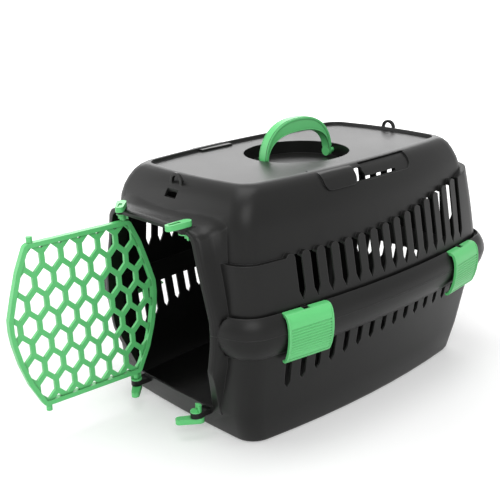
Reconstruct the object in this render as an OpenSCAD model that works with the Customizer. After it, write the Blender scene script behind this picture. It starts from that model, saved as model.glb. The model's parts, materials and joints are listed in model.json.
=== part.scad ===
// Two-part plastic pet keeper: a tub and a hood joined by four side clips, a swinging honeycomb
// door held by four turning latches, and a folding carry handle in a round well.
// Millimetres. The door faces -Y, the length runs along Y, the width along X, and the underside is z = 0.
// The door is drawn open, as it stands at rest; everything else is drawn closed.

/* [Shell] */
// Length over the belt, front to rear
shell_len = 480; // [470:1:490]
// Width over the belt
shell_wid = 352; // [340:1:364]
// Height of the raised lip round the top
shell_h = 304; // [298:1:312]
// Wall thickness of tub and hood
wall = 2.4; // [2:0.1:3]
// How far the belt stands out from the walls
belt_out = 14; // [10:0.5:16]

/* [Ventilation] */
// Number of slots in each row
slot_count = 16; // [10:1:16]
// Distance from slot to slot
slot_pitch = 21.7; // [19:0.1:22]
// Width of an upper slot
slot_w = 10; // [6:0.5:13]
// Width of a lower slot
low_slot_w = 8.6; // [5:0.2:11]

/* [Door] */
// Angle at which the door stands open
door_open = 93; // [0:1:93]
// Distance between the door's two pin lines
pin_span = 122; // [118:1:126]
// Thickness of the door's border
door_rim_t = 8; // [6:0.5:9]
// Thickness of the honeycomb ribs, front to back
door_web_t = 4; // [3:0.5:6]
// Width of a honeycomb rib
rib_w = 6; // [4:0.2:7]
// Radius of the door's pins
pin_r = 3.6; // [3:0.1:4]

/* [Handle] */
// Radius of the well in the top
well_r = 69; // [67:1:72]
// Depth of the well
well_depth = 17; // [14:1:20]
// Width of the handle, side to side
handle_w = 13; // [11:1:15]

/* [Clips] */
// Length of a side clip
clip_len = 63; // [50:1:70]
// Distance of the clips' centres from the middle of the length
clip_y = 145; // [140:1:150]

/* [Hidden] */
run_fit = 0.05; // radial clearance of every turning pin
half_l = shell_len / 2;
half_w = shell_wid / 2;
kz = shell_h / 304;
part_z = 146 * kz; // parting line between tub and hood, half way up the belt

black_plastic = [0.16, 0.16, 0.155];
green_plastic = [0.36, 0.80, 0.50];

// Walls by height: inset of the side, the front and the rear from the wall behind the belt.
// Tub walls, from the floor up to the parting line.
tub_side = [[0, 27.5], [2, 24], [6, 21.8], [40, 15], [87, 7.5], [118, 1.5], [146, 0]];
tub_front = [[0, 24], [2, 18.5], [6, 16], [40, 3.5], [87, 0.5], [118, 0], [146, 0]];
tub_rear = [[0, 46.5], [2, 42.5], [6, 39.5], [40, 28.5], [87, 16.5], [118, 7.5], [146, 0]];
// Lower, proud wall of the hood, which carries the slots.
band_side = [[146, 0], [170, 2], [187, 4.2], [215, 8.8], [244, 13.8], [290, 22]];
band_front = [[146, 0], [170, 0], [224, 1], [290, 7]];
band_rear = [[146, 0], [170, 1], [224, 6], [290, 16]];
// Upper wall of the hood with its rounded shoulder and lip.
top_side = [[190, 8.8], [224, 15.4], [257, 22], [266, 24], [277, 27.5], [287, 32], [295, 36.6],
            [300, 41.5], [303, 47], [304, 52]];
top_front = [[190, 5], [224, 6], [257, 9], [266, 11], [277, 15.5], [287, 22], [295, 29.5], [300, 36],
             [303, 41], [304, 44]];
top_rear = [[190, 7.5], [224, 10.5], [257, 15.5], [266, 17.2], [277, 20], [287, 24], [295, 28.5],
            [300, 33], [303, 37.5], [304, 41]];
side_bow = [[0, 12], [60, 14], [146, 18], [190, 17], [304, 12]];
front_bow = [[0, 2.5], [60, 7], [118, 5], [150, 5], [200, 9], [257, 11], [277, 9], [304, 6]];
rear_bow = [[0, 2.5], [146, 4], [304, 6]];
corner_r = [[0, 27], [146, 34], [224, 30], [290, 27], [304, 24]];

// Step line on the hood: level along the front, then rising to the rear.
step_z0 = 224;
step_rise = 44;
step_from = -66;
function step_z(y) = kz * (step_z0 + (y < step_from ? 0 : step_rise * pow((y - step_from) / 291, 1.7)));
rear_step_z = step_z(half_l - 16);
function low_z(y) = kz * (98 - 30 * pow(max(0, (75 - y) / 237), 2.1));

lug_t = 6.6; // height of the ledges that carry the latches
top_lug_z = 256.4;
low_lug_z = 28;
// Right-hand edge of the doorway from the top down, as [x, z], seen from the front.
doorway_edge = [[84, 220], [93, 189], [100.4, 162], [100.8, 146], [99.2, 130], [94, 104], [85.5, 76],
                [75, 44]];
sill_z = 37.5;
// The collar round the doorway, front to back: [y, width beyond the doorway, height of its top].
collar_y = -240;
belt_end_x = 109; // where the belt ends on each side of it
collar_levels = [[-240, 4.6, 260.2], [-239, 7.2, 261.7], [-236.5, 9.2, 262.7], [-233, 10.2, 263],
                 [-226, 11.2, 263.1], [-220, 13, 265.2], [-214, 16.5, 269], [-204, 24, 277]];

// Door, seen closed.
pin_x = pin_span / 2;
pin_y = -236;
door_z0 = 44;
door_z1 = 247;
door_outline = [[68.5, 247], [82, 217], [91, 188], [98.4, 162], [98.8, 147], [97.2, 131], [92, 105],
                [83, 76.5], [67, 44]];
hex_dx = 24.2;
hex_dz = 26.6;
hex_mid_z = 146.5;
rim_w = 5.6;

// Latches.
ring_r = 7;
cup_h = 7.6;
stem_r = 3.2;
lever_len = 25;
lever_t = 6.5;

// Seat-belt guides.
guide_len = 156;
guide_z0 = shell_h - 20.5;

// Handle.
pivot_z = shell_h - 4 - 9;
arch_span = 60.5;
arch_rise = 54;
grip_span = 55.5;
grip_rise = 35.5;
handle_pin_r = 3.4;

// Clips, in a section across the belt: x outwards from the wall, z from the parting line.
clip_px = 3.2;
clip_pz = 19.6;
barrel_r = 2.1;
clip_pin_r = 1.1;
clip_tilt = atan(2 * 18 * clip_y / (190 * 190));

slots_y = [for (i = [0 : slot_count - 1]) (i - (slot_count - 1) / 2) * slot_pitch];

// ---------------------------------------------------------------- plan outlines and lofts

// One rounded plan outline with bowed sides, as 48 points at height z.
function plan(w, yf, yr, r, bs, bf, br, z) =
  let (
    l = (yr - yf) / 2,
    yc = (yr + yf) / 2,
    as = atan(2 * bs / l),
    af = atan(2 * bf / w),
    ar = atan(2 * br / w),
    cx = w - bs - r * cos(as),
    cr = l - br - r * cos(ar),
    cf = l - bf - r * cos(af)
  )
  concat(
    [for (i = [0 : 8]) let (t = i / 4 - 1) [w - bs * t * t, yc + t * ((t < 0 ? cf : cr) + r * sin(as)), z]],
    [for (i = [1 : 5]) let (a = as + (90 - as - ar) * i / 6) [cx + r * cos(a), yc + cr + r * sin(a), z]],
    [for (i = [0 : 4]) let (t = 1 - i / 2) [t * (cx + r * sin(ar)), yr - br * t * t, z]],
    [for (i = [5 : -1 : 1]) let (a = as + (90 - as - ar) * i / 6) [-cx - r * cos(a), yc + cr + r * sin(a), z]],
    [for (i = [8 : -1 : 0])
      let (t = i / 4 - 1) [-w + bs * t * t, yc + t * ((t < 0 ? cf : cr) + r * sin(as)), z]],
    [for (i = [1 : 5]) let (a = as + (90 - as - af) * i / 6) [-cx - r * cos(a), yc - cf - r * sin(a), z]],
    [for (i = [0 : 4]) let (t = 1 - i / 2) [-t * (cx + r * sin(af)), yf + bf * t * t, z]],
    [for (i = [5 : -1 : 1]) let (a = as + (90 - as - af) * i / 6) [cx + r * cos(a), yc - cf - r * sin(a), z]]
  );

// Outline of a wall at table height z, moved outwards by out and drawn at height zz.
function wall_ring(side, front, rear, z, out, zz) =
  plan(
    half_w - belt_out - lookup(z, side) + out,
    -(half_l - belt_out + 1 - lookup(z, front) + out),
    half_l - belt_out - lookup(z, rear) + out,
    max(2, lookup(z, corner_r) + out),
    lookup(z, side_bow), lookup(z, front_bow), lookup(z, rear_bow), zz * kz
  );

// Solid through a stack of outlines with the same number of points.
module loft(rings) {
  n = len(rings[0]);
  m = len(rings);
  polyhedron(
    points = [for (r = rings) for (p = r) p],
    faces = concat(
      [[for (i = [0 : n - 1]) i]],
      [for (k = [0 : m - 2]) for (i = [0 : n - 1]) [k * n + i, (k + 1) * n + i, (k + 1) * n + (i + 1) % n]],
      [for (k = [0 : m - 2]) for (i = [0 : n - 1]) [k * n + i, (k + 1) * n + (i + 1) % n, k * n + (i + 1) % n]],
      [[for (i = [n - 1 : -1 : 0]) (m - 1) * n + i]]
    )
  );
}

module tub_loft(levels) {
  loft([for (v = levels) wall_ring(tub_side, tub_front, tub_rear, v[0], v[1], v[0])]);
}

module band_loft(levels) {
  loft([for (v = levels) wall_ring(band_side, band_front, band_rear, v[0], v[1], v[0])]);
}

// Levels here are [table height, outward move, drawn height].
module top_loft(levels) {
  loft([for (v = levels) wall_ring(top_side, top_front, top_rear, v[0], v[1], v[2])]);
}

// Shape seen from the front, run along Y from y0 to y1.
module along_y(y0, y1) {
  translate([0, y1, 0]) rotate([90, 0, 0]) linear_extrude(y1 - y0) children();
}

// Shape seen from the right-hand side as [y, z], run along X from x0 to x1.
module along_x(x0, x1) {
  translate([x0, 0, 0]) rotate([90, 0, 90]) linear_extrude(x1 - x0) children();
}

// Outline of the doorway, grown sideways by g, with its top at height top and its bottom at height bottom.
function door_frame(g, top, bottom) =
  let (
    half = concat(
      [[56, top], [69.5 + 0.25 * g, top - 0.1 * g]],
      [[75 + 0.75 * g, top - 3.6 - 0.1 * g], [78.5 + 0.95 * g, top - 11]],
      [for (p = doorway_edge) [p[0] + g, p[1] * kz]],
      [[73 + g, bottom]]
    )
  )
  concat(half, [for (i = [len(half) - 1 : -1 : 0]) [-half[i][0], half[i][1]]]);

// ---------------------------------------------------------------- tub

module tub_shell() {
  difference() {
    union() {
      difference() {
        tub_loft([[0, 0], [2, 0], [6, 0], [40, 0], [87, 0], [118, 0], [118.6, 3.4], [122, 6.6],
                  [128, 10], [135, 12.6], [141, 13.7], [145.9, belt_out]]);
        belt_end_cut();
      }
      intersection() {
        collar_block();
        translate([-half_w, -half_l - 20, 0]) cube([2 * half_w, 60, part_z - 0.1]);
      }
    }
    tub_loft([[4.4, -wall - 1.2], [7.5, -wall], [40, -wall], [87, -wall], [118, -wall], [146.2, -wall]]);
    // Hollow of the belt, open upwards
    intersection() {
      difference() {
        tub_loft([[121.4, 4.5], [128, 7.6], [135, 10.2], [146.2, 11.6]]);
        tub_loft([[120, 0], [147, 0]]);
      }
      translate([-half_w, -half_l + 42, 100]) cube([2 * half_w, 2 * half_l, 60]);
    }
    collar_hollow();
    doorway_cut();
    low_slots();
    underside_pockets();
  }
}

// Collar in which the door stands; below the belt its face slopes back to the wall.
module collar_block() {
  difference() {
    loft([for (v = collar_levels) [for (p = door_frame(v[1], v[2], 33)) [p[0], v[0], p[1]]]]);
    translate([-half_w, collar_y, 100]) rotate([18, 0, 0]) translate([0, -80, -120]) cube([2 * half_w, 80, 120]);
  }
}

module collar_hollow() {
  along_y(collar_y + wall, collar_y + 40)
    difference() {
      polygon(door_frame(7, 262, 33));
      polygon(door_frame(wall, 262, 33));
      translate([-half_w, 0]) square([2 * half_w, 102]);
      translate([-half_w, top_lug_z - 14]) square([2 * half_w, 40]);
    }
}

module doorway_cut() {
  along_y(collar_y - 10, collar_y + 45) polygon(door_frame(0, top_lug_z, sill_z));
}

// Ends the belt beside the collar, with rounded ends.
module belt_end_cut() {
  end = [
    for (i = [-5 : 5])
      let (t = i / 5) [belt_end_x + 13 * (1 - sqrt(1 - 0.98 * t * t)), part_z - 1 + 25 * t]
  ];
  along_y(-half_l - 20, -226)
    polygon(concat(end, [for (i = [10 : -1 : 0]) [-end[i][0], end[i][1]]]));
}

// Slot centred on c with a pointed lower end, tip high.
module slot_outline(c, w, bottom, top, tip) {
  polygon([
    [c - w / 2, top], [c + w / 2, top],
    [c + w / 2, bottom + tip], [c, bottom], [c - w / 2, bottom + tip]
  ]);
}

module low_slots() {
  along_x(-half_w - 5, half_w + 5)
    for (y = slots_y) slot_outline(y, low_slot_w, low_z(y), 117.4 * kz, 6);
  along_y(half_l - 80, half_l)
    for (i = [-3.5 : 3.5]) slot_outline(i * slot_pitch, low_slot_w, low_z(half_l) - 6, 117.4 * kz, 6);
}

// Shallow panels in the underside, leaving a rim and three bearers to stand on.
module underside_pockets() {
  for (x = [-94, -32, 32, 94])
    translate([x, -12, -1])
      linear_extrude(2.6)
        square([x * x > 4000 ? 40 : 52, 330], center = true);
}

// Ledge that carries a latch, and the hole through it for the latch's stem.
module latch_lug(x, z0, back) {
  translate([x, pin_y, z0]) cylinder(h = lug_t, r = ring_r, $fn = 48);
  translate([x - ring_r, pin_y, z0]) cube([2 * ring_r, back, lug_t]);
}

module stem_hole(x, z0) {
  translate([x, pin_y, z0 - 1]) cylinder(h = lug_t + 2, r = stem_r + run_fit, $fn = 48);
}

module tub() color(black_plastic)
  difference() {
    union() {
      tub_shell();
      for (s = [-1, 1]) latch_lug(s * pin_x, low_lug_z, 18.4);
    }
    for (s = [-1, 1]) stem_hole(s * pin_x, low_lug_z);
  }

// ---------------------------------------------------------------- hood

// The region under the step line, with a rounded tooth between each two slots.
module comb_outline() {
  polygon(concat(
    [[-half_l - 20, 100]], [[-half_l - 20, step_z(-half_l)]],
    [for (y = [slots_y[0] - slot_pitch / 2 : 10 : slots_y[0]]) [y - 0.1, step_z(y)]],
    [for (i = [0 : slot_count - 1]) each [
      [slots_y[i] - slot_w / 2, step_z(slots_y[i])],
      [slots_y[i] + slot_w / 2, step_z(slots_y[i])]
    ]],
    [[slots_y[slot_count - 1] + slot_pitch, step_z(slots_y[slot_count - 1] + slot_pitch)],
     [half_l - 16, rear_step_z], [half_l + 20, rear_step_z], [half_l + 20, 100]]
  ));
  for (i = [0 : slot_count - 2])
    let (y = (slots_y[i] + slots_y[i + 1]) / 2, r = (slot_pitch - slot_w) / 2)
      translate([y, step_z(y) - 1.5]) circle(r = r, $fn = 32);
}

module under_step_outline(drop) {
  polygon(concat(
    [[-half_l - 20, 100], [-half_l - 20, step_z0 * kz - drop], [step_from, step_z0 * kz - drop]],
    [for (y = [-30 : 36 : half_l - 20]) [y, step_z(y) - drop]],
    [[half_l + 20, rear_step_z - drop], [half_l + 20, 100]]
  ));
}

module upper_slots() {
  along_x(-half_w - 5, half_w + 5)
    for (y = slots_y) slot_outline(y, slot_w, 172.5 * kz, step_z(y) + 0.5, 11.5);
  along_y(half_l - 80, half_l)
    for (i = [-4 : 4]) slot_outline(i * slot_pitch, slot_w, 172.5 * kz, rear_step_z + 0.5, 11.5);
}

// Rounded rib ends across the rear.
module rear_rib_ends() {
  along_y(half_l - 60, half_l)
    for (i = [-4.5 : 4.5])
      translate([i * slot_pitch, rear_step_z - 1.5]) circle(d = slot_pitch - slot_w, $fn = 32);
}

module hood_outer() {
  intersection() {
    difference() {
      band_loft([[146.1, belt_out], [152, 13.6], [158, 12.2], [163, 9.8], [166.4, 7.2], [168, 5.8],
                 [168.2, 5.4], [162.6, 5.2], [162.6, 0.6], [170, 0], [187, 0], [215, 0], [244, 0], [290, 0]]);
      belt_end_cut();
    }
    union() {
      along_x(-half_w - 10, half_w + 10) comb_outline();
      rear_rib_ends();
    }
  }
  top_loft([[200, 0, 200], [257, 0, 257], [266, 0, 266], [277, 0, 277], [287, 0, 287], [295, 0, 295],
            [300, 0, 300], [303, 0, 303], [304, 0, 304], [304, -2.6, 304], [304, -3.6, 300]]);
}

module hood_inner() {
  intersection() {
    band_loft([[145.8, -wall], [170, -wall], [187, -wall], [215, -wall], [244, -wall], [290, -wall]]);
    along_x(-half_w - 10, half_w + 10) under_step_outline(wall);
  }
  top_loft([[195, -wall, 195], [257, -wall, 257], [266, -wall, 265], [277, -wall, 275.5], [287, -wall, 285],
            [295, -wall, 292.5], [300, -wall, 296], [303, -wall, 297.4]]);
}

module belt_hollow() {
  intersection() {
    difference() {
      band_loft([[145.8, 11.6], [152, 11.2], [158, 9.6], [160.2, 8]]);
      band_loft([[145, 0], [161, 0]]);
    }
    translate([-half_w, -half_l + 42, 100]) cube([2 * half_w, 2 * half_l, 100]);
  }
}

module well(r, z0, z1) {
  translate([0, 0, z0]) cylinder(h = z1 - z0, r = r, $fn = 96);
}

module handle_boss(s) {
  translate([0, s * (well_r - 1), pivot_z]) rotate([-s * 90, 0, 0]) cylinder(h = 9, r = 7, $fn = 48);
}

// Upright eye for a carry strap.
module strap_eye(y, z0) {
  along_y(y - 1.9, y + 1.9)
    difference() {
      union() {
        translate([0, z0 + 11]) circle(r = 11, $fn = 48);
        translate([-11, z0]) square([22, 11]);
      }
      translate([0, z0 + 11]) circle(r = 7.4, $fn = 48);
      translate([-7.4, z0 + 4]) square([14.8, 7]);
    }
}

// Opening under the front eye.
module eye_window() {
  along_y(-half_l, -202) translate([0, 288 * kz]) square([21, 15], center = true);
}

// Seat-belt guide in the shoulder of each side: a raised pad, a gap and a sunk tongue.
module guide_outline(y0, y1, grow = 0) {
  hull() {
    translate([y0 + 9 + grow, guide_z0 + 9]) circle(r = 9 + grow, $fn = 32);
    translate([y1 - 9 - grow, guide_z0 + 9]) circle(r = 9 + grow, $fn = 32);
    translate([y0, guide_z0 + 9]) square([y1 - y0, 10.2 + grow]);
  }
}

module guide_cut() {
  for (s = [-1, 1]) {
    // gap between the pad and the tongue, and the slit under the tongue
    scale([s, 1, 1]) along_x(80, 150) {
      polygon([[-31, guide_z0 + 1.2], [-14, guide_z0 + 1.2], [46, guide_z0 + 1.2], [46, guide_z0 + 4.6],
               [-9, guide_z0 + 4.6], [-13, guide_z0 + 15.5], [-25, guide_z0 + 15.5]]);
    }
  }
}

module guide_pads() {
  intersection() {
    top_loft([[266, 1.8, 266], [277, 1.8, 277.6], [287, 1.8, 288.2], [295, 1.8, 296.4], [300, 1.6, 301.2],
              [303, 0.8, 303.6]]);
    union() {
      for (s = [-1, 1])
        scale([s, 1, 1]) along_x(96, 150) guide_outline(-guide_len / 2 - 2, -28);
    }
  }
}

module guide_sinks() {
  difference() {
    union() {
      for (s = [-1, 1])
        scale([s, 1, 1]) along_x(96, 150) guide_outline(-12, guide_len / 2 - 2);
    }
    top_loft([[260, -1.3, 260], [277, -1.3, 276.6], [287, -1.3, 286.2], [295, -1.3, 294], [300, -1.3, 298.6],
              [303, -1.3, 301.6], [303.6, -1.2, 304.5]]);
  }
}

module clip_frame(y, s) {
  // Places a section drawn from the wall at the parting line, with its length along the wall.
  side = half_w - belt_out - 18 * pow(y / 190, 2);
  translate([s * side, y, part_z]) rotate([0, 0, s * sign(y) * clip_tilt]) children();
}

// Gap in the crest of the belt, where a clip passes over it.
module clip_notch(y, s) {
  clip_frame(y, s)
    translate([s * 8.6 - 7, -clip_len / 2 - 1, 16.4]) cube([14, clip_len + 2, 8]);
}

module clip_hinge(y, s) {
  clip_frame(y, s) {
    translate([s * clip_px, 0, clip_pz]) {
      rotate([90, 0, 0]) cylinder(h = 26, r = clip_pin_r, center = true, $fn = 24);
      translate([-s * 1.2 - 2.4, -3.6, -4.4]) cube([4.8, 7.2, 6.6]);
    }
  }
}

module hood() color(black_plastic) {
  difference() {
    union() {
      difference() {
        union() {
          hood_outer();
          guide_pads();
          intersection() {
            collar_block();
            translate([-half_w, -half_l - 20, part_z + 0.1]) cube([2 * half_w, 60, 200]);
          }
        }
        difference() {
          hood_inner();
          well(well_r + wall, shell_h - 4 - well_depth - wall, shell_h);
          for (s = [-1, 1]) handle_boss(s);
        }
        guide_sinks();
        belt_hollow();
        for (s = [-1, 1])
          for (y = [-clip_y, clip_y]) clip_notch(y, s);
        upper_slots();
        collar_hollow();
      }
      for (s = [-1, 1]) latch_lug(s * pin_x, top_lug_z, 20);
    }
    doorway_cut();
    for (s = [-1, 1]) stem_hole(s * pin_x, top_lug_z);
    well(well_r, shell_h - 4 - well_depth, shell_h + 10);
    for (s = [-1, 1])
      translate([0, s * (well_r - 2), pivot_z])
        rotate([-s * 90, 0, 0]) cylinder(h = 7, r = handle_pin_r + run_fit, $fn = 48);
    eye_window();
    guide_cut();
  }
  strap_eye(-196.5, 286);
  strap_eye(187, 292);
  for (s = [-1, 1])
    for (y = [-clip_y, clip_y]) clip_hinge(y, s);
}

// ---------------------------------------------------------------- door

module hexagon_hole(x, z) {
  w = (hex_dx - rib_w) / 2;
  translate([x, z])
    polygon([[0, 14.7], [w, 5.9], [w, -5.9], [0, -14.7], [-w, -5.9], [-w, 5.9]]);
}

module honeycomb() {
  for (row = [-4 : 4])
    for (col = [-5 : 5])
      hexagon_hole((col + (row % 2 == 0 ? 0 : 0.5)) * hex_dx, hex_mid_z + row * hex_dz);
}

module door_border(inset) {
  offset(r = 8 - inset, $fn = 32) offset(delta = -8)
    polygon(concat(
      [for (p = door_outline) p],
      [for (i = [len(door_outline) - 1 : -1 : 0]) [-door_outline[i][0], door_outline[i][1]]]
    ));
}

module door() color(green_plastic)
  translate([-pin_x, pin_y, 0]) rotate([0, 0, -door_open]) translate([pin_x, 0, 0]) {
    along_y(-door_rim_t / 2, door_rim_t / 2)
      difference() {
        door_border(0);
        door_border(rim_w);
      }
    along_y(-door_web_t / 2, door_web_t / 2)
      difference() {
        door_border(rim_w - 0.5);
        honeycomb();
      }
    for (s = [-1, 1]) {
      translate([s * pin_x, 0, door_z1 - 6]) cylinder(h = 13.4, r = pin_r, $fn = 48);
      translate([s * pin_x, 0, door_z0 - 7.4]) cylinder(h = 13.4, r = pin_r, $fn = 48);
    }
  }

// ---------------------------------------------------------------- latches

// Turning latch on the door's pin line: an open cup round the pin, a stem through the ledge, and a lever.
// up = 1 for the hood's latches and -1 for the tub's; turn is the lever's direction from -Y.
module latch(x, z_ring, up, turn) {
  color(green_plastic) translate([x, pin_y, z_ring]) scale([1, 1, up]) rotate([0, 0, turn]) {
    difference() {
      cylinder(h = cup_h, r = ring_r, $fn = 48);
      translate([0, 0, -1]) cylinder(h = cup_h - 0.2, r = pin_r + run_fit, $fn = 48);
      rotate([0, 0, -17.5 * up]) translate([0, 0, -1]) linear_extrude(cup_h - 0.2)
        polygon([[0, 0], [-12, 3.2], [-12, -12], [12, -12], [12, 3.2]]);
    }
    translate([0, 0, cup_h - 1]) cylinder(h = lug_t + 3, r = stem_r, $fn = 48);
    translate([0, 0, cup_h + lug_t + 0.8])
      difference() {
        hull() {
          translate([0, 3.5, 0]) cylinder(h = lever_t, r = 6, $fn = 32);
          translate([0, 5 - lever_len, 0]) cylinder(h = lever_t, r = 5, $fn = 32);
        }
        translate([-2.2, 4 - lever_len, lever_t - 1.2]) cube([4.4, lever_len - 9, 3]);
      }
  }
}

module latch_top_right() latch(pin_x, top_lug_z - 0.4 - cup_h, 1, 0);
module latch_top_left() latch(-pin_x, top_lug_z - 0.4 - cup_h, 1, 49);
module latch_bottom_right() latch(pin_x, low_lug_z + lug_t + 0.4 + cup_h, -1, -35);
module latch_bottom_left() latch(-pin_x, low_lug_z + lug_t + 0.4 + cup_h, -1, 49);

// ---------------------------------------------------------------- handle

// Half of a squarish arch as [y, z] points, from its right foot to its left foot.
function arch(span, rise, power) =
  [for (i = [0 : 40])
    let (a = i * 4.5, c = cos(a), s = sin(a))
      [span * sign(c) * pow(abs(c), 2 / power), rise * pow(s, 2 / power)]];

// The arch between the outer and the inner curve, thinned by cut all round.
module crescent(cut) {
  polygon(concat(
    arch(arch_span - cut, arch_rise - cut, 2.3),
    [for (p = arch(grip_span + cut, grip_rise + cut, 2.5)) [-p[0], p[1]]]
  ));
}

// Carry handle: a strap, deep at the grip and thin at its feet, with a pin on each foot.
module handle() color(green_plastic) translate([0, 0, pivot_z]) {
  along_x(-handle_w / 2 + 1.2, handle_w / 2 - 1.2) crescent(0);
  along_x(-handle_w / 2, handle_w / 2) crescent(1);
  for (s = [-1, 1]) {
    translate([0, s * (grip_span - 0.6), 0])
      rotate([-s * 90, 0, 0]) cylinder(h = arch_span - grip_span + 0.6, r = handle_w / 2, $fn = 48);
    translate([0, s * (grip_span + 2), 0])
      rotate([-s * 90, 0, 0]) cylinder(h = 15.4, r = handle_pin_r, $fn = 48);
  }
}

// ---------------------------------------------------------------- side clips

// Section across the belt: a barrel in the groove, an arm over the belt and a curled lower end.
module clip_section() {
  polygon([
    [3.2, 21.5], [7.5, 21.5], [11, 20.6], [13.6, 18.2], [15.6, 14.8], [17, 9.6], [17.7, 4], [17.9, -2],
    [17.6, -10], [16.3, -18], [14, -26], [11.6, -32], [9.4, -36.4], [6.6, -38.8], [3.2, -38.6], [2.4, -36.2],
    [5.6, -35.8], [7.4, -34.4], [9, -30.6], [11.4, -24.6], [13.4, -17.4], [14.6, -9.6], [14.9, -2],
    [14.8, 3], [14.3, 7.6], [13.2, 12], [11.6, 15.6], [10.6, 17.1], [5.2, 17.4], [3.2, 17.5]
  ]);
}

module clip(y, s) {
  color(green_plastic) clip_frame(y, s) scale([s, 1, 1])
    difference() {
      union() {
        along_y(-clip_len / 2, clip_len / 2) clip_section();
        translate([clip_px, clip_len / 2 - 2, clip_pz])
          rotate([90, 0, 0]) cylinder(h = clip_len - 4, r = barrel_r, $fn = 32);
      }
      translate([clip_px, 0, clip_pz])
        rotate([90, 0, 0]) cylinder(h = 27, r = clip_pin_r + run_fit, center = true, $fn = 24);
      translate([-2, -4.4, 14]) cube([11, 8.8, 10]);
      for (i = [0 : 9])
        let (z = 4 - i * 3.6, x = 17.95 - 0.0064 * pow(z + 2, 2))
          translate([x + 0.4, 0, z])
            rotate([90, 0, 0]) cylinder(h = clip_len - 7, r = 1.2, center = true, $fn = 16);
    }
}

module clip_front_right() clip(-clip_y, 1);
module clip_front_left() clip(-clip_y, -1);
module clip_rear_right() clip(clip_y, 1);
module clip_rear_left() clip(clip_y, -1);

// ---------------------------------------------------------------- nodes

tub();
hood();
door();
handle();
clip_front_right();
clip_front_left();
clip_rear_right();
clip_rear_left();
latch_top_right();
latch_top_left();
latch_bottom_right();
latch_bottom_left();
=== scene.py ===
"""Pet keeper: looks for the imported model. Metres, door towards -Y, underside on z = 0."""

import json
import math

import bmesh
import bpy
from mathutils import Matrix, Vector


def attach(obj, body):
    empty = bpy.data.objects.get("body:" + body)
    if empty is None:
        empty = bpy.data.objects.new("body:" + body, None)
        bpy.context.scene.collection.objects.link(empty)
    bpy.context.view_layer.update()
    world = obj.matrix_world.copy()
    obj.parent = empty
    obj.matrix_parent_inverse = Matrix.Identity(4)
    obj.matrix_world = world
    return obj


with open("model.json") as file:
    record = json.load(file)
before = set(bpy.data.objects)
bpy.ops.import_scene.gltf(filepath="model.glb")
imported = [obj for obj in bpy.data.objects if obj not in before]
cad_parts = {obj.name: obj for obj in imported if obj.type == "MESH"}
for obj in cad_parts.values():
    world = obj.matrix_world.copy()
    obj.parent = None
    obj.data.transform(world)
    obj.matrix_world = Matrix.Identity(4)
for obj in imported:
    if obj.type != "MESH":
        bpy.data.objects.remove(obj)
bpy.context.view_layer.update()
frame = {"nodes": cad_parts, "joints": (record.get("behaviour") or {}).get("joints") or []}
nodes = frame["nodes"]
joints = {joint["name"]: joint for joint in frame["joints"]}
scene = bpy.context.scene

MM = 0.001
WHITE = (1, 1, 1, 1)

# ---------------------------------------------------------------- camera

CAM_POS = Vector((0.8056, -0.7950, 0.5403))
CAM_AZIMUTH = math.radians(48.7)
CAM_ELEVATION = math.radians(18.3)
CAM_ROLL = math.radians(-2.3)
SENSOR_MM = 36.0
FOCAL_PX = 878.9
FRAME_PX = 500
NEAREST, FARTHEST = 0.01, 50


def add_camera():
    """Camera at the place from which the photograph was taken."""
    az, el = CAM_AZIMUTH, CAM_ELEVATION
    forward = Vector((-math.sin(az) * math.cos(el), math.cos(az) * math.cos(el), -math.sin(el)))
    right = Vector((math.cos(az), math.sin(az), 0))
    up = right.cross(forward)
    right_rolled = right * math.cos(CAM_ROLL) + up * math.sin(CAM_ROLL)
    up_rolled = up * math.cos(CAM_ROLL) - right * math.sin(CAM_ROLL)
    turn = Matrix((right_rolled, up_rolled, -forward)).transposed()
    data = bpy.data.cameras.new("camera")
    data.sensor_width = SENSOR_MM
    data.lens = FOCAL_PX / FRAME_PX * SENSOR_MM
    data.clip_start = NEAREST
    data.clip_end = FARTHEST
    camera = bpy.data.objects.new("camera", data)
    camera.matrix_world = Matrix.Translation(CAM_POS) @ turn.to_4x4()
    scene.collection.objects.link(camera)
    scene.camera = camera


# ---------------------------------------------------------------- materials

# Slow drift of colour and gloss over a moulding
DRIFT_SCALE = 9.0
DRIFT_DETAIL = 3.0
DRIFT_FROM, DRIFT_TO = 0.3, 0.7
ROUGHNESS = 0.36
ROUGHNESS_DRIFT = 0.05

# Fine matt grain
GRAIN_DETAIL = 2.0
GRAIN_DEPTH = 0.0002

# Painted edge highlight: how far a face's own normal agrees with the rounded one, on a flat face (no
# highlight) and on an edge (full highlight)
HIGHLIGHT_AGREEMENT = (0.99, 0.85)
EDGE_SAMPLES = 6

# Painted shade in grooves and corners: how open a point is, deep in a groove and on a plain face, sets how
# far its colour is darkened
GROOVE_OPENNESS = (0.35, 0.95)
GROOVE_SHADE = 0.3
GROOVE_REACH = 0.003
GROOVE_SAMPLES = 8

# A colour mix node has sockets of the same name for other kinds of data
MIX_FACTOR, MIX_FIRST, MIX_SECOND, MIX_RESULT = 0, 6, 7, 2


def map_range(tree, value, source, target, interpolation="LINEAR"):
    """Output that runs from one target level to the other as the value crosses its range."""
    node = tree.nodes.new("ShaderNodeMapRange")
    node.interpolation_type = interpolation
    for socket, level in zip(("From Min", "From Max", "To Min", "To Max"), (*source, *target)):
        node.inputs[socket].default_value = level
    tree.links.new(value, node.inputs["Value"])
    return node.outputs["Result"]


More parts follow.
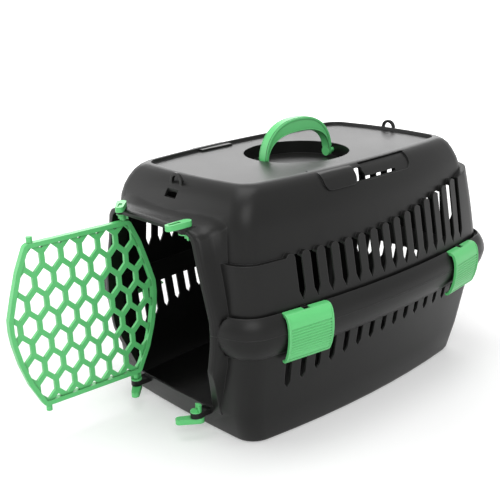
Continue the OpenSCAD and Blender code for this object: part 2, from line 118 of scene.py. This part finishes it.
def paint_edge_highlight_and_groove_shade(tree, colour, rounded, painted_edge_highlight):
    """Paints a highlight onto proud edges, and paints shade into grooves and corners."""
    link = tree.links.new
    shape = tree.nodes.new("ShaderNodeNewGeometry")
    agree = tree.nodes.new("ShaderNodeVectorMath")
    agree.operation = "DOT_PRODUCT"
    link(shape.outputs["True Normal"], agree.inputs[0])
    link(rounded, agree.inputs[1])
    # Painted highlight: the colour is mixed towards white on proud edges, where the face's normal parts
    # from the rounded one
    painted_highlight = tree.nodes.new("ShaderNodeMix")
    painted_highlight.data_type = "RGBA"
    painted_highlight.inputs[MIX_SECOND].default_value = WHITE
    link(map_range(tree, agree.outputs["Value"], HIGHLIGHT_AGREEMENT, (0, painted_edge_highlight)), painted_highlight.inputs[MIX_FACTOR])
    link(colour, painted_highlight.inputs[MIX_FIRST])
    # Painted shade: the colour is darkened in grooves and corners, as far as ambient occlusion finds them
    # closed in
    hollow = tree.nodes.new("ShaderNodeAmbientOcclusion")
    hollow.samples = GROOVE_SAMPLES
    hollow.inputs["Distance"].default_value = GROOVE_REACH
    painted_shade = tree.nodes.new("ShaderNodeVectorMath")
    painted_shade.operation = "SCALE"
    link(painted_highlight.outputs[MIX_RESULT], painted_shade.inputs[0])
    link(map_range(tree, hollow.outputs["AO"], GROOVE_OPENNESS, (GROOVE_SHADE, 1)), painted_shade.inputs["Scale"])
    return painted_shade.outputs["Vector"]


def plastic(name, colour, deep, specular, grain, grain_scale, edge_radius, painted_edge_highlight):
    """Moulded plastic: a faint drift of colour, a fine matt grain, softened edges, a painted highlight on
    proud edges and painted shade in grooves.
    """
    mat = bpy.data.materials.new(name)
    mat.use_nodes = True
    tree = mat.node_tree
    link = tree.links.new
    shader = tree.nodes["Principled BSDF"]
    shader.inputs["Specular IOR Level"].default_value = specular

    coords = tree.nodes.new("ShaderNodeTexCoord")
    drift = tree.nodes.new("ShaderNodeTexNoise")
    drift.inputs["Scale"].default_value = DRIFT_SCALE
    drift.inputs["Detail"].default_value = DRIFT_DETAIL
    link(coords.outputs["Object"], drift.inputs["Vector"])
    ramp = tree.nodes.new("ShaderNodeValToRGB")
    dark_end, light_end = ramp.color_ramp.elements
    dark_end.position, light_end.position = DRIFT_FROM, DRIFT_TO
    dark_end.color, light_end.color = (*deep, 1), (*colour, 1)
    link(drift.outputs["Fac"], ramp.inputs["Fac"])

    soft_edge = tree.nodes.new("ShaderNodeBevel")
    soft_edge.samples = EDGE_SAMPLES
    soft_edge.inputs["Radius"].default_value = edge_radius
    rounded = soft_edge.outputs["Normal"]
    fine = tree.nodes.new("ShaderNodeTexNoise")
    fine.inputs["Scale"].default_value = grain_scale
    fine.inputs["Detail"].default_value = GRAIN_DETAIL
    link(coords.outputs["Object"], fine.inputs["Vector"])
    bump = tree.nodes.new("ShaderNodeBump")
    bump.inputs["Strength"].default_value = grain
    bump.inputs["Distance"].default_value = GRAIN_DEPTH
    link(fine.outputs["Fac"], bump.inputs["Height"])
    link(rounded, bump.inputs["Normal"])

    gloss = (ROUGHNESS - ROUGHNESS_DRIFT, ROUGHNESS + ROUGHNESS_DRIFT)
    link(paint_edge_highlight_and_groove_shade(tree, ramp.outputs["Color"], rounded, painted_edge_highlight), shader.inputs["Base Color"])
    link(map_range(tree, drift.outputs["Fac"], (0, 1), gloss), shader.inputs["Roughness"])
    link(bump.outputs["Normal"], shader.inputs["Normal"])
    return mat


BLACK = plastic(
    "black_moulding",
    colour=(0.010, 0.010, 0.0096),
    deep=(0.0075, 0.0075, 0.0072),
    specular=0.22,
    grain=0.3,
    grain_scale=900,
    edge_radius=0.0012,
    # Strength of the painted highlight on edges
    painted_edge_highlight=0.035,
)
GREEN = plastic(
    "green_moulding",
    colour=(0.135, 0.66, 0.215),
    deep=(0.12, 0.61, 0.19),
    specular=0.5,
    grain=0.12,
    grain_scale=700,
    edge_radius=0.0003,
    # Strength of the painted highlight on edges
    painted_edge_highlight=0.25,
)
BLACK_NODES = ("tub", "hood")

WELD_GAP = 2e-6
NODE_EDGE = math.radians(32)
TRIM_EDGE = math.radians(40)


def smooth(obj, edge_angle):
    """Welds the piece's faces and shades it smooth between real edges."""
    obj.data.polygons.foreach_set("use_smooth", [True] * len(obj.data.polygons))
    weld = obj.modifiers.new("weld", "WELD")
    weld.merge_threshold = WELD_GAP
    split = obj.modifiers.new("edges", "EDGE_SPLIT")
    split.split_angle = edge_angle


def paint_nodes():
    """Gives every CAD node its material."""
    for name, obj in nodes.items():
        obj.data.materials.clear()
        obj.data.materials.append(BLACK if name in BLACK_NODES else GREEN)
        smooth(obj, NODE_EDGE)


# ---------------------------------------------------------------- raised edges
# Sizes and rows of points here are in millimetres, and sweep() sets them in their place.


def sweep(name, rows, place, body):
    """Closed bar through a row of equal loops of points, set in its place, riding on a body."""
    count = len(rows[0])
    points = [place @ (Vector(point) * MM) for row in rows for point in row]
    faces = [list(range(count)), [len(points) - 1 - i for i in range(count)]]
    for k in range(len(rows) - 1):
        for i in range(count):
            j = (i + 1) % count
            faces.append([k * count + i, k * count + j, (k + 1) * count + j, (k + 1) * count + i])
    mesh = bpy.data.meshes.new(name)
    mesh.from_pydata(points, [], faces)
    shape = bmesh.new()
    shape.from_mesh(mesh)
    bmesh.ops.recalc_face_normals(shape, faces=shape.faces)
    shape.to_mesh(mesh)
    shape.free()
    obj = bpy.data.objects.new(name, mesh)
    scene.collection.objects.link(obj)
    mesh.materials.append(GREEN)
    smooth(obj, TRIM_EDGE)
    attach(obj, body)


HANDLE_SIDE = 6.5
# The outer and inner arch of each rim, by half span, rise and squareness, and the share of
# its breadth where its crest begins
OUTER_RIM = {"outer": (60.2, 53.7, 2.3), "inner": (56.9, 50.3, 2.34), "crest": 0.35}
INNER_RIM = {"outer": (57.6, 37.9, 2.48), "inner": (56.2, 36.2, 2.5), "crest": 0.41}
# Heights of a rim over the side of the strap
RIM_ROOT, RIM_SHOULDER, RIM_CREST = -0.4, 0.5, 0.9
RIM_ANGLES = range(6, 175, 3)


def arch_point(span, rise, squareness, degrees):
    """Point of the handle's squarish arch, as (y, z) about the pivot."""
    c, s = math.cos(math.radians(degrees)), math.sin(math.radians(degrees))
    power = 2 / squareness
    return math.copysign(span * abs(c) ** power, c), rise * s ** power


def handle_rim(name, side, outer, inner, crest):
    """Raised rim along one edge of the handle's strap, between two arches."""
    profile = [(0, RIM_ROOT), (0, RIM_SHOULDER), (crest, RIM_CREST)]
    profile += [(1 - share, height) for share, height in reversed(profile)]
    rows = []
    for degrees in RIM_ANGLES:
        outer_y, outer_z = arch_point(*outer, degrees)
        inner_y, inner_z = arch_point(*inner, degrees)
        rows.append([
            (
                side * (HANDLE_SIDE + height),
                outer_y + (inner_y - outer_y) * share,
                outer_z + (inner_z - outer_z) * share,
            )
            for share, height in profile
        ])
    sweep(name, rows, Matrix.Translation(joints["handle_fold"]["pos_m"]), "handle")


# Outside of a clip's section from its top to its lower end, and the pin that it turns on,
# both out from the wall and up from the parting line
CLIP_OUTSIDE = [(14.2, 17.2), (15.6, 14.8), (17, 9.6), (17.7, 4), (17.9, -2), (17.6, -10), (16.3, -18),
                (14, -26), (11.6, -32), (10.3, -34.7)]
CLIP_PIN = (3.2, 19.6)
CLIP_HALF = 31.5
# Border of a clip: its cross-section, as reach to each side and height, and its line
BORDER_SECTION = [(-0.95, -0.5), (-0.95, 0.3), (-0.5, 0.6), (0.5, 0.6), (0.95, 0.3), (0.95, -0.5)]
BORDER_INSET = 1.1
BORDER_CORNER = 3.0
BORDER_STEPS = 24
CORNER_ANGLES = range(0, 91, 15)
LOWER_EDGE_SHARES = (0.6, 0.2)


def on_clip(distance):
    """Place and outward direction on the clip's outside, at a distance along it from the top."""
    for (x0, z0), (x1, z1) in zip(CLIP_OUTSIDE, CLIP_OUTSIDE[1:]):
        length = math.hypot(x1 - x0, z1 - z0)
        share = min(1, distance / length)
        if distance <= length:
            break
        distance -= length
    place = (x0 + (x1 - x0) * share, z0 + (z1 - z0) * share)
    outward = (-(z1 - z0) / length, (x1 - x0) / length)
    return place, outward


def border_path(drop):
    """Line of a clip's border, as (along the belt, down the clip), for a clip of that drop."""
    half = CLIP_HALF - BORDER_INSET
    flat, straight = half - BORDER_CORNER, drop - BORDER_CORNER
    path = [(half, straight * i / BORDER_STEPS) for i in range(BORDER_STEPS)]
    for angle in map(math.radians, CORNER_ANGLES):
        path.append((flat + BORDER_CORNER * math.cos(angle), straight + BORDER_CORNER * math.sin(angle)))
    path += [(flat * share, drop) for share in LOWER_EDGE_SHARES]
    return path + [(-along, down) for along, down in reversed(path)]


def clip_place(joint, side):
    """Where a clip's section goes: its pin on the joint, its length along the joint's axis."""
    along = Vector(joint["axis"]) * -side
    turn = Matrix.Rotation(math.atan2(-along.x, along.y), 4, "Z")
    pin = Vector((side * CLIP_PIN[0], 0, CLIP_PIN[1])) * MM
    return Matrix.Translation(joint["pos_m"]) @ turn @ Matrix.Translation(-pin)


def clip_border(body):
    """Raised border round the two ends and the lower edge of a clip, with round corners."""
    joint = joints[f"{body}_swing"]
    side = math.copysign(1, joint["pos_m"][0])
    drop = sum(math.dist(a, b) for a, b in zip(CLIP_OUTSIDE, CLIP_OUTSIDE[1:]))
    path = border_path(drop)
    rows = []
    for i, (along, down) in enumerate(path):
        along0, down0 = path[max(0, i - 1)]
        along1, down1 = path[min(len(path) - 1, i + 1)]
        length = math.hypot(along1 - along0, down1 - down0)
        across = ((down1 - down0) / length, -(along1 - along0) / length)
        row = []
        for reach, height in BORDER_SECTION:
            (x, z), (out_x, out_z) = on_clip(max(0, min(drop, down + across[1] * reach)))
            row.append((side * (x + out_x * height), along + across[0] * reach, z + out_z * height))
        rows.append(row)
    sweep(f"{body}_border", rows, clip_place(joint, side), body)


def add_raised_edges():
    """Rims on both sides of the handle, and a border on each clip."""
    for side, label in ((1, "right"), (-1, "left")):
        handle_rim(f"handle_outer_rim_{label}", side, **OUTER_RIM)
        handle_rim(f"handle_inner_rim_{label}", side, **INNER_RIM)
        clip_border(f"clip_front_{label}")
        clip_border(f"clip_rear_{label}")


# ---------------------------------------------------------------- studio

# Place, aim, width and depth, and power of each lamp
LAMPS = {
    "key": ((1.4, -1.1, 1.6), (0, 0, 0.15), (1.2, 1.2), 14),
    "overhead": ((-0.2, -0.1, 2.1), (0, 0, 0), (1.3, 1.3), 16),
    "fill": ((-1.3, -1.4, 0.9), (0, -0.1, 0.15), (1.4, 1.4), 8),
    "sheen": ((-1.45, 1.3, 1.05), (0, 0, 0.3), (2.0, 0.85), 13),
}
FLOOR_SIZE = 40
FLOOR_ROUGHNESS = 0.8
FLOOR_SPECULAR = 0.1
# The floor's glow grows from the object outwards, and its own colour dims as it glows
FADE_DISTANCE = (0.35, 1.5)
FLOOR_GLOW = (0.3, 1.0)
FLOOR_COLOUR = (0.8, 0.62)
# The world's strength as light, and as the background that is seen
WORLD_STRENGTH = (0.6, 1.0)


def area_light(name, place, target, size, power):
    """Soft panel that lights its target and isn't seen itself."""
    data = bpy.data.lights.new(name, "AREA")
    data.shape = "RECTANGLE"
    data.size, data.size_y = size
    data.energy = power
    lamp = bpy.data.objects.new(name, data)
    aim = (Vector(target) - Vector(place)).to_track_quat("-Z", "Y")
    lamp.matrix_world = Matrix.Translation(place) @ aim.to_matrix().to_4x4()
    lamp.visible_camera = False
    scene.collection.objects.link(lamp)


def background_rays(tree):
    """1 for the rays that show the background: from the camera, off gloss and through clear material."""
    path = tree.nodes.new("ShaderNodeLightPath")
    total = path.outputs["Is Camera Ray"]
    for kind in ("Is Glossy Ray", "Is Transmission Ray"):
        add = tree.nodes.new("ShaderNodeMath")
        add.operation = "ADD"
        add.use_clamp = True
        tree.links.new(total, add.inputs[0])
        tree.links.new(path.outputs[kind], add.inputs[1])
        total = add.outputs["Value"]
    return total


def add_floor():
    """Pale floor that keeps the shadow near the object and fades into the white background."""
    bpy.ops.mesh.primitive_plane_add(size=FLOOR_SIZE, location=(0, 0, 0))
    floor = bpy.context.object
    floor.name = "floor"
    mat = bpy.data.materials.new("pale_floor")
    mat.use_nodes = True
    tree = mat.node_tree
    link = tree.links.new
    shader = tree.nodes["Principled BSDF"]
    shader.inputs["Roughness"].default_value = FLOOR_ROUGHNESS
    shader.inputs["Specular IOR Level"].default_value = FLOOR_SPECULAR
    shader.inputs["Emission Color"].default_value = WHITE

    place = tree.nodes.new("ShaderNodeNewGeometry")
    distance = tree.nodes.new("ShaderNodeVectorMath")
    distance.operation = "LENGTH"
    link(place.outputs["Position"], distance.inputs[0])
    glow = map_range(tree, distance.outputs["Value"], FADE_DISTANCE, FLOOR_GLOW, "SMOOTHSTEP")
    seen = tree.nodes.new("ShaderNodeMath")
    seen.operation = "MULTIPLY"
    link(glow, seen.inputs[0])
    link(background_rays(tree), seen.inputs[1])
    link(seen.outputs["Value"], shader.inputs["Emission Strength"])

    pale = map_range(tree, seen.outputs["Value"], (0, 1), FLOOR_COLOUR)
    colour = tree.nodes.new("ShaderNodeCombineColor")
    for channel in ("Red", "Green", "Blue"):
        link(pale, colour.inputs[channel])
    link(colour.outputs["Color"], shader.inputs["Base Color"])
    floor.data.materials.append(mat)


def add_world():
    """Soft surroundings that are seen as white."""
    world = bpy.data.worlds.new("pale_world")
    scene.world = world
    world.use_nodes = True
    tree = world.node_tree
    background = tree.nodes["Background"]
    background.inputs["Color"].default_value = WHITE
    level = map_range(tree, background_rays(tree), (0, 1), WORLD_STRENGTH)
    tree.links.new(level, background.inputs["Strength"])


def add_studio():
    """Pale floor and surroundings, a key lamp, a fill, and a soft panel that sheens the top."""
    add_floor()
    add_world()
    for name, settings in LAMPS.items():
        area_light(name, *settings)


# ---------------------------------------------------------------- build

add_camera()
paint_nodes()
add_raised_edges()
add_studio()
scene.view_settings.view_transform = "Standard"
